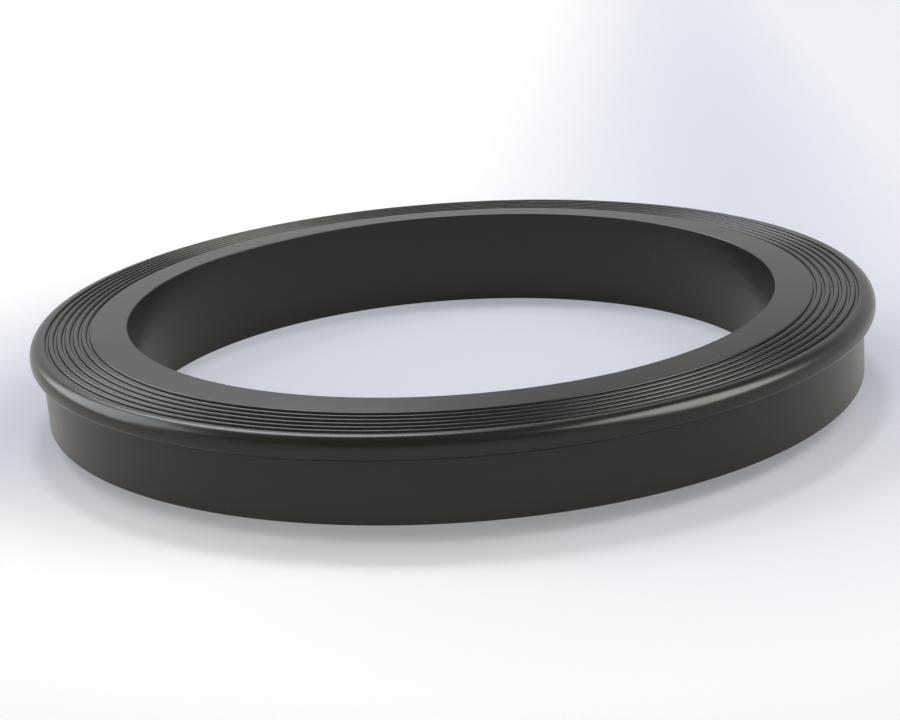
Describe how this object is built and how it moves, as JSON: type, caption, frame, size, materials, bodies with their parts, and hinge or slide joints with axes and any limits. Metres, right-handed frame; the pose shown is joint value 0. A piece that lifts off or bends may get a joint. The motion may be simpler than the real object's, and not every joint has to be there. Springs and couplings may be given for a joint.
{
  "type": "union seal",
  "caption": "Moulded rubber sealing ring for a pipe union: straight bore, slightly conical face with concentric grooves, rounded overhanging rim and a bottom that rises outside its flat foot.",
  "frame": {"origin": "centre of the flat foot, on the ring's axis", "axes": "+Z along the ring's axis, from the flat foot towards the grooved sealing face; the ring is the same all round, so +X and +Y are any two square directions"},
  "size_m": [0.132, 0.132, 0.0159],
  "materials": {
    "black_rubber": "smooth moulded black rubber with a soft satin sheen"
  },
  "bodies": {
    "root": {"union_seal": "black_rubber"}
  },
  "joints": []
}
